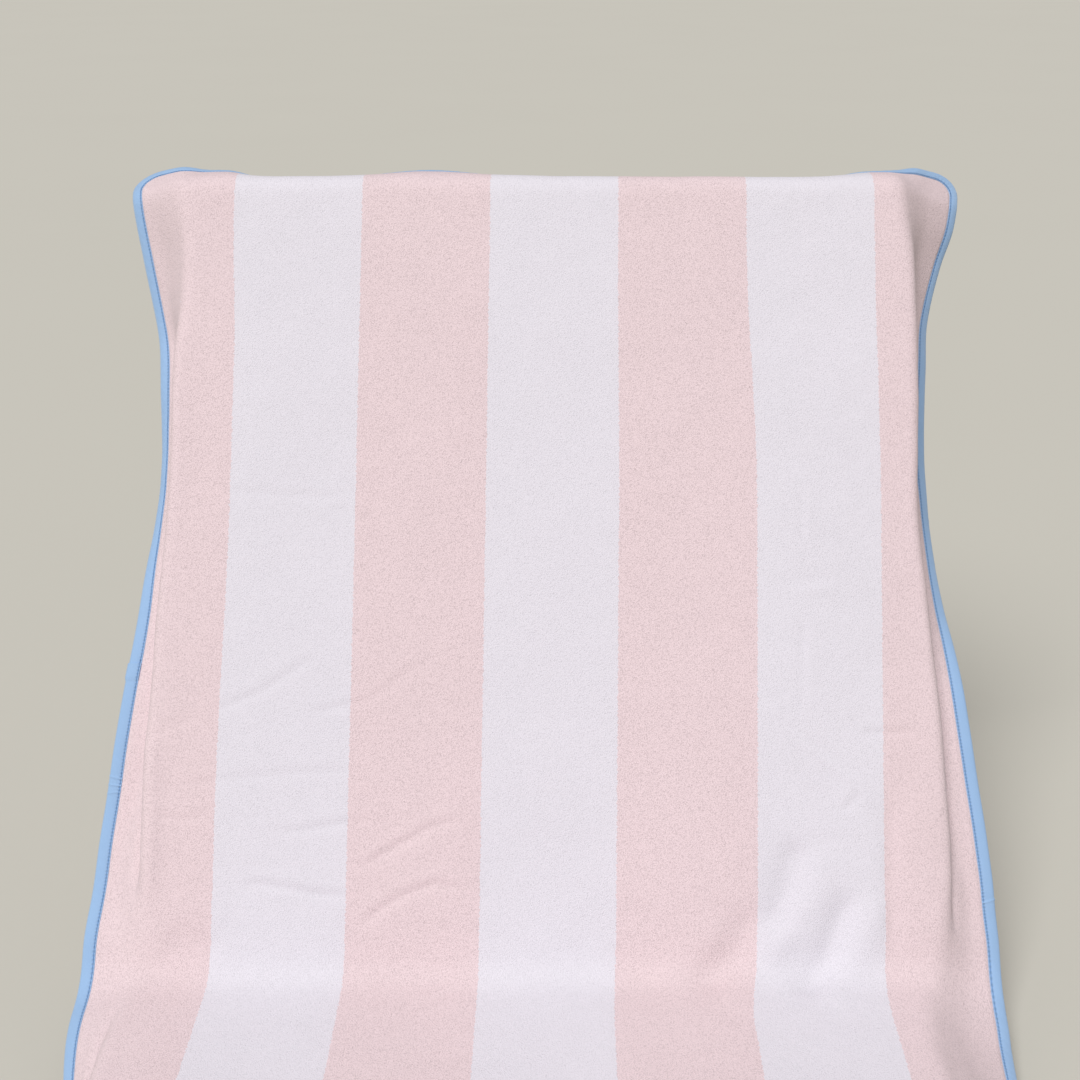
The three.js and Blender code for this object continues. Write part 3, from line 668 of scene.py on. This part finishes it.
class Graph:
    """A material's nodes, made one after another and ending in a Principled shader."""

    def __init__(self, name):
        self.material = bpy.data.materials.new(name)
        self.material.use_nodes = True
        self.tree = self.material.node_tree
        self.shader = self.tree.nodes["Principled BSDF"]

    def add(self, kind, settings=None, **inputs):
        """Adds a node, sets its properties, and sets or links its inputs by name or place."""
        node = self.tree.nodes.new("ShaderNode" + kind)
        for key, value in (settings or {}).items():
            setattr(node, key, value)
        for key, value in inputs.items():
            self.feed(node.inputs[int(key[1:]) if key[1:].isdigit() else key.replace("_", " ")], value)
        return node

    def feed(self, socket, value):
        if isinstance(value, bpy.types.NodeSocket):
            self.tree.links.new(value, socket)
        else:
            socket.default_value = value

    def math(self, operation, a, b=0.0, c=0.0):
        return self.add("Math", {"operation": operation}, i0=a, i1=b, i2=c).outputs[0]

    def noise(self, place, scale, detail):
        return self.add("TexNoise", Vector=place, Scale=scale, Detail=detail).outputs["Fac"]

    def shaded(self, value, pattern, depth):
        """A brightness, made lighter and darker by a pattern that runs from 0 to 1."""
        return self.math("MULTIPLY_ADD", self.math("SUBTRACT", pattern, 0.5), depth, value)

    def toned(self, colour, value):
        return self.add("HueSaturation", Value=value, Color=colour).outputs[0]

    def place(self, stretch=(1, 1, 1)):
        """Where a point is on the cloth, stretched along its axes."""
        place = self.add("Attribute", {"attribute_name": PLACE}).outputs["Vector"]
        return self.add("VectorMath", {"operation": "MULTIPLY"}, i0=place, i1=stretch).outputs[0]

    def finish(self, colour, height, depth, roughness, **shader):
        """Joins the colour and the fine relief to the shader, and sets its other inputs."""
        bump = self.add("Bump", Strength=1.0, Distance=depth, Height=height)
        self.feed(self.shader.inputs["Base Color"], colour)
        self.feed(self.shader.inputs["Normal"], bump.outputs[0])
        self.feed(self.shader.inputs["Roughness"], roughness)
        for key, value in shader.items():
            self.shader.inputs[key.replace("_", " ")].default_value = value
        return self.material


def terry():
    """Cotton loops in two colours, with painted shade between the loops. The stripes' edges waver by a loop's
    width, as woven ones do.
    """
    g = Graph("terry_cotton")
    place = g.place()
    u = g.add("SeparateXYZ", Vector=place).outputs["X"]
    shifted = g.shaded(u, g.noise(place, WAVER_SCALE, 1.0), WAVER)
    stripe = g.math("FLOOR", g.math("DIVIDE", g.math("ADD", shifted, HALF_WIDTH), STRIPE))
    white = g.math("MODULO", stripe, 2.0)
    colour = g.add("Mix", {"data_type": "RGBA"}, i0=white, i6=PINK, i7=WHITE).outputs[2]
    oval = g.place((1, 0.85, 0.4))
    loops = g.add("TexVoronoi", {"feature": "F1"}, Vector=oval, Scale=LOOP_SCALE, Randomness=0.9)
    depth = loops.outputs["Distance"]
    fibre = g.noise(place, FIBRE_SCALE, 2.0)
    contrast = g.math("MULTIPLY_ADD", white, LESS_IN_WHITE, LOOP_SHADE)
    # painted shade between the loops
    loop_gap_painted_shade = g.math("MULTIPLY", g.math("SUBTRACT", depth, LOOP_MIDDLE), contrast)
    value = g.shaded(g.math("ADD", loop_gap_painted_shade, 1.02), g.noise(place, PATCH_SCALE, 3.0), PATCH_SHADE)
    value = g.shaded(value, g.noise(place, CLOUD_SCALE, 1.0), CLOUD_SHADE)
    value = g.shaded(value, fibre, FIBRE_SHADE)
    rounded = g.math("SUBTRACT", 1.0, g.math("MULTIPLY", depth, depth))
    height = g.math("MULTIPLY_ADD", fibre, 0.25, rounded)
    return g.finish(g.toned(colour, value), height, 0.00035, 1.0, Sheen_Weight=0.10, Sheen_Roughness=0.6,
                    Specular_IOR_Level=0.15)


def needle_holes(g, seam):
    """How much of a place on the tape is in a needle hole, from 0 to 1, for a seam at a girth of the tape:
    where painted shade goes.
    """
    on_tape = g.add("SeparateXYZ", Vector=g.place())
    off = g.math("ABSOLUTE", g.math("SUBTRACT", on_tape.outputs["Y"], seam))
    beside = g.math("MAXIMUM", g.math("MULTIPLY_ADD", off, -1 / HOLE_REACH, 1.0), 0.0)
    phase = g.math("MULTIPLY", on_tape.outputs["X"], 2 * math.pi / STITCH)
    return g.math("MULTIPLY", beside, g.math("MULTIPLY_ADD", g.math("COSINE", phase), 0.5, 0.5))


def woven(name, colour, period, turn, roughness, sheen, depth, seam=None):
    """A plain weave: yarns that cross at right angles, turned on the cloth, with uneven dye, and painted
    shade in the needle holes along a seam.
    """
    g = Graph(name)
    flat = g.place((1, 1, 0))
    turned = g.add("VectorRotate", {"rotation_type": "Z_AXIS"}, Vector=flat, Angle=turn).outputs[0]
    axes = g.add("SeparateXYZ", Vector=turned)
    yarns = [g.math("SINE", g.math("MULTIPLY", axes.outputs[axis], 2 * math.pi / period)) for axis in "XY"]
    weave = g.math("MULTIPLY", *yarns)
    slub = g.noise(g.place(), 900.0, 2.0)
    value = g.math("MULTIPLY_ADD", weave, 0.035, 1.0)
    value = g.shaded(value, slub, 0.08)
    value = g.shaded(value, g.noise(g.place(), 45.0, 2.0), 0.05)
    if seam is not None:
        # painted shade in the needle holes along the seam
        value = g.math("MULTIPLY_ADD", needle_holes(g, seam), -HOLE_PAINTED_SHADE, value)
    height = g.math("MULTIPLY_ADD", slub, 0.5, weave)
    return g.finish(g.toned(colour, value), height, depth, roughness, Sheen_Weight=sheen,
                    Sheen_Roughness=0.5, Specular_IOR_Level=0.25)


def twisted(name, colour):
    """Sewing thread: fine diagonal plies round it, and a little gloss."""
    g = Graph(name)
    axes = g.add("SeparateXYZ", Vector=g.place())
    along = g.math("MULTIPLY_ADD", axes.outputs["Y"], 1.4, axes.outputs["X"])
    plies = g.math("SINE", g.math("MULTIPLY", along, 2 * math.pi / 0.0006))
    toned = g.toned(colour, g.math("MULTIPLY_ADD", plies, 0.08, 1.0))
    return g.finish(toned, plies, 0.00005, 0.5, Specular_IOR_Level=0.4, Sheen_Weight=0.1)


def plain(name, colour):
    """Matt paint, with a faint grain."""
    g = Graph(name)
    grain = g.noise(g.add("TexCoord").outputs["Object"], 1.2, 2.0)
    return g.finish(g.toned(colour, g.shaded(1.0, grain, 0.02)), grain, 0.0001, 1.0, Specular_IOR_Level=0.0)


# ---- The towel -------------------------------------------------------------------------------------------
terry_cotton = terry()
stripes = [add_stripe(k, terry_cotton) for k in range(STRIPES)]
ground = add_ground(woven("ground_weave_cotton", COTTON, 0.0009, 0.0, 0.9, 0.2, 0.00008))
on_bias = math.pi / 4
binding = add_binding(woven("bias_tape_poplin", BLUE, 0.0004, on_bias, 0.72, 0.25, 0.00003, seam=SEAM_GIRTH))
thread_material = twisted("sewing_thread", THREAD_BLUE)
threads = [
    add_thread("seam_needle_thread", "needle_thread", 1, thread_material),
    add_thread("seam_bobbin_thread", "bobbin_thread", -1, thread_material),
]

# ---- Floor, light and camera -----------------------------------------------------------------------------
FLOOR_COLOUR = (0.560, 0.541, 0.486, 1)
FLOOR_SIZE = 120.0
FLOOR_DROP = 0.004
CAMERA_PLACE = (-0.0045, -0.6037, 0.8394)
CAMERA_DOWN = math.radians(22.6)
CAMERA_LENS, CAMERA_SENSOR = 50.0, 36.0
WORLD_COLOUR, WORLD_STRENGTH = (1.0, 0.995, 0.985, 1), 0.28
KEY_FROM = (-0.24, -0.53, 0.815)
KEY_STRENGTH, KEY_SPREAD = 2.90, math.radians(32)
KEY_COLOUR = (1.0, 0.995, 0.99)


def add_floor():
    lowest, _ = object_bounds()
    mesh = bpy.data.meshes.new("floor")
    half, z = FLOOR_SIZE / 2, lowest[2] - FLOOR_DROP
    corners = [(-half, -half, z), (half, -half, z), (half, half, z), (-half, half, z)]
    mesh.from_pydata(corners, [], [(0, 1, 2, 3)])
    mesh.materials.append(plain("floor_paint", FLOOR_COLOUR))
    floor = bpy.data.objects.new("floor", mesh)
    bpy.context.scene.collection.objects.link(floor)


def add_key():
    """A far, very wide softbox: its light falls evenly, and its shadows have no edge."""
    light = bpy.data.lights.new("key_softbox", "SUN")
    light.energy, light.angle, light.color = KEY_STRENGTH, KEY_SPREAD, KEY_COLOUR
    lamp = bpy.data.objects.new("key_softbox", light)
    x, y, z = KEY_FROM
    lamp.rotation_euler = (math.atan2(math.hypot(x, y), z), 0, math.atan2(x, -y))
    bpy.context.scene.collection.objects.link(lamp)


def add_camera():
    camera = bpy.data.objects.new("camera", bpy.data.cameras.new("camera"))
    camera.data.lens, camera.data.sensor_width = CAMERA_LENS, CAMERA_SENSOR
    camera.data.clip_end = FLOOR_SIZE
    camera.location = CAMERA_PLACE
    camera.rotation_euler = (math.pi / 2 - CAMERA_DOWN, 0, 0)
    bpy.context.scene.collection.objects.link(camera)
    bpy.context.scene.camera = camera


add_camera()
add_floor()
world = bpy.data.worlds.new("studio")
world.use_nodes = True
world.node_tree.nodes["Background"].inputs["Color"].default_value = WORLD_COLOUR
world.node_tree.nodes["Background"].inputs["Strength"].default_value = WORLD_STRENGTH
bpy.context.scene.world = world
add_key()
bpy.context.scene.view_settings.view_transform = "Standard"
